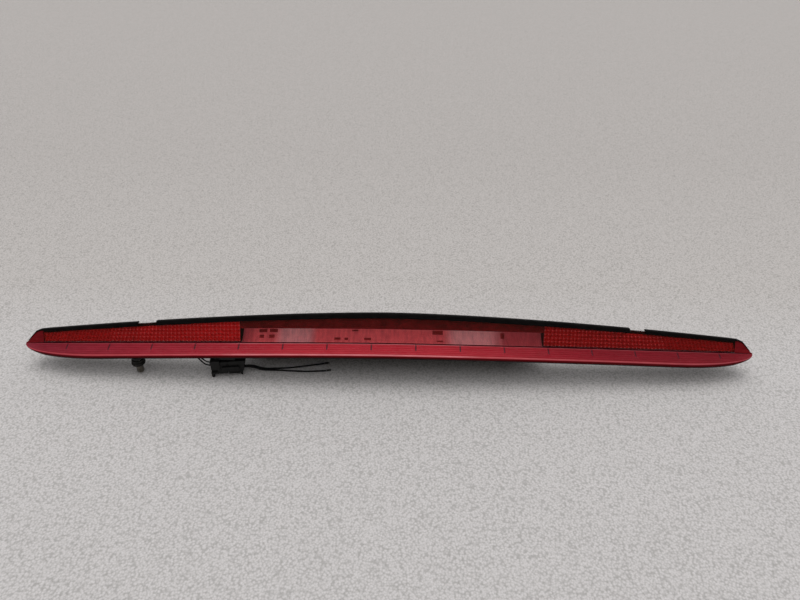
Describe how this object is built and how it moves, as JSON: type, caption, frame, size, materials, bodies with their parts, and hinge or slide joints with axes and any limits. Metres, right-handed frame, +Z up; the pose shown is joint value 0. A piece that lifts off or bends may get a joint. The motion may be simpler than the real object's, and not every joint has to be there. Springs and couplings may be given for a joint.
{
  "type": "third brake light",
  "caption": "Full-width bowed red third brake light: clear window and prism sides over a fluted ledge, rear housing, studs, and a plug with short wire tails.",
  "frame": {"origin": "middle of the bounding box's foot, on the surface that the lamp stands on", "axes": "+X along the lamp, lens facing -Y, +Z up"},
  "size_m": [0.95, 0.0634, 0.0839],
  "materials": {
    "lens_red": "polished transparent red acrylic",
    "prism_red": "transparent red acrylic with moulded prisms",
    "black_abs": "fine-grained black moulding",
    "black_nylon": "satin black nylon",
    "black_rubber": "matt black rubber",
    "grey_foam": "dark grey closed-cell foam",
    "aluminised": "vacuum-aluminised plastic",
    "circuit_board": "green solder resist",
    "led_resin": "clear epoxy over a pale cup",
    "plated_steel": "zinc-plated steel, dulled",
    "tinned_brass": "tinned brass",
    "wire_pvc": "black PVC insulation"
  },
  "bodies": {
    "lamp": {"outer_lens": "lens_red", "prism_plate_left": "prism_red", "prism_plate_right": "prism_red", "rear_housing": "black_abs", "led_carrier": "black_abs", "socket_housing": "black_nylon", "connector_clip": "black_nylon", "edge_trim_centre": "black_rubber", "edge_trim_left": "black_rubber", "edge_trim_right": "black_rubber", "stud_bush": "black_rubber", "vent_cap": "black_rubber", "lead_grommet": "black_rubber", "gasket_centre": "grey_foam", "gasket_left": "grey_foam", "gasket_right": "grey_foam", "window_reflector": "aluminised", "side_reflector_left": "aluminised", "side_reflector_right": "aluminised", "ledge_reflector_left": "aluminised", "ledge_reflector_right": "aluminised", "ledge_reflector_centre": "aluminised", "led_board": "circuit_board", "led_01": "led_resin", "led_02": "led_resin", "led_03": "led_resin", "led_04": "led_resin", "led_05": "led_resin", "led_06": "led_resin", "led_07": "led_resin", "led_08": "led_resin", "led_09": "led_resin", "led_10": "led_resin", "led_11": "led_resin", "led_12": "led_resin", "stud_outer_left": "plated_steel", "stud_inner_left": "plated_steel", "stud_inner_right": "plated_steel", "stud_nut": "plated_steel", "board_screw_1": "plated_steel", "board_screw_2": "plated_steel", "board_screw_3": "plated_steel", "socket_terminal_positive": "tinned_brass", "socket_terminal_negative": "tinned_brass", "lead_positive": "wire_pvc", "lead_negative": "wire_pvc"},
    "harness_plug": {"plug_housing": "black_nylon", "plug_terminal_positive": "tinned_brass", "plug_terminal_negative": "tinned_brass", "tail_front": "wire_pvc", "tail_rear": "wire_pvc", "tail_end_front": "tinned_brass", "tail_end_rear": "tinned_brass"},
    "latch": {"plug_latch": "black_nylon"}
  },
  "joints": [
    {"name": "plug_pull", "type": "slide", "parent": "lamp", "child": "harness_plug", "axis": [0.9903, 0.1392, 0], "range_m": [0, 0.018]},
    {"name": "latch_press", "type": "hinge", "parent": "harness_plug", "child": "latch", "pos_m": [-0.20168, -0.02726, 0.0145], "axis": [0, 0, 1], "range_deg": [0, 5], "stiffness_Nm_per_rad": 0.4}
  ]
}
